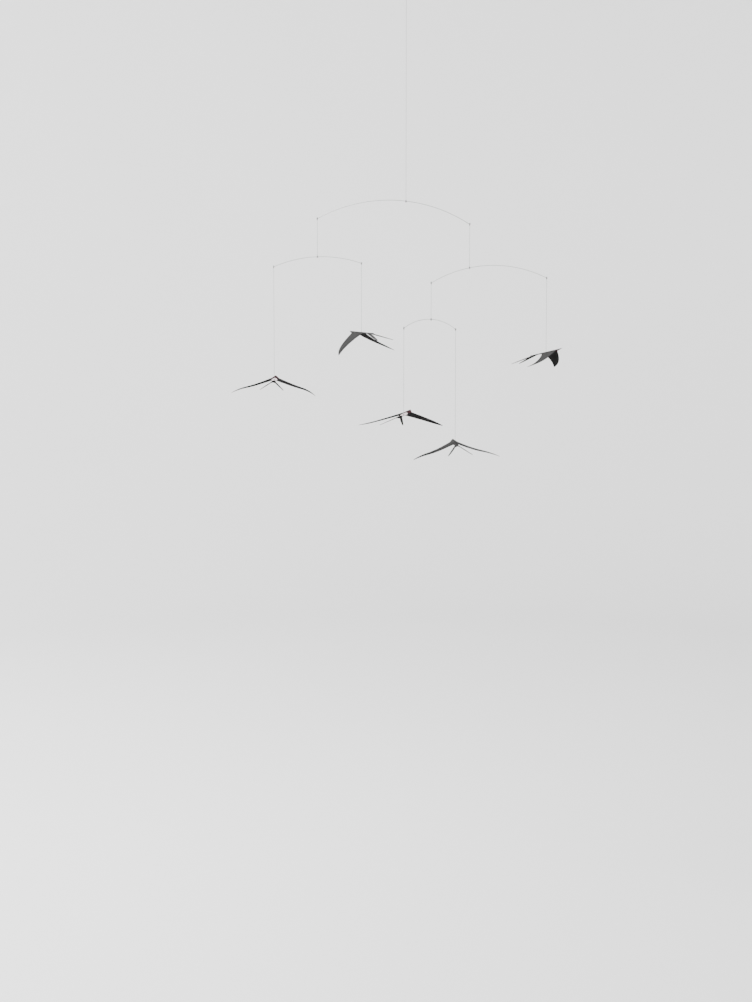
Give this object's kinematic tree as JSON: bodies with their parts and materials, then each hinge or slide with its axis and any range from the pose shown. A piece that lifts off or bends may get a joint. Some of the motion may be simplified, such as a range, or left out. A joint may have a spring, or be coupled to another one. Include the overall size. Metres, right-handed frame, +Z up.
{
  "type": "hanging mobile",
  "caption": "Hanging mobile of folded-card swallows with sickle wings and forked tails, balanced on arched steel-wire arms and fine threads below a small ring.",
  "frame": {"origin": "the point where a hook bears on the inner top of the hanging ring", "axes": "+Z up, +X to the viewer's right as in the picture, +Y away from the viewer"},
  "size_m": [0.7145, 0.2439, 0.9821],
  "materials": {
    "steel_ring": "bright drawn steel wire",
    "steel_wire": "grey spring-steel wire with fine drawing marks",
    "thread": "black two-ply twisted thread",
    "black_card": "matt charcoal-black uncoated card with a printed white belly and dull red throat underneath"
  },
  "bodies": {
    "root": {"hanging_ring": "steel_ring", "top_arm": "steel_wire", "left_arm": "steel_wire", "right_arm": "steel_wire", "lower_arm": "steel_wire", "main_thread": "thread", "left_drop_thread": "thread", "right_drop_thread": "thread", "lower_drop_thread": "thread", "swallow_thread_left_outer": "thread", "swallow_thread_left_inner": "thread", "swallow_thread_lower_left": "thread", "swallow_thread_lower_right": "thread", "swallow_thread_right_outer": "thread", "swallow_left_outer": "black_card", "swallow_left_inner": "black_card", "swallow_lower_left": "black_card", "swallow_lower_right": "black_card", "swallow_right_outer": "black_card"}
  },
  "joints": []
}
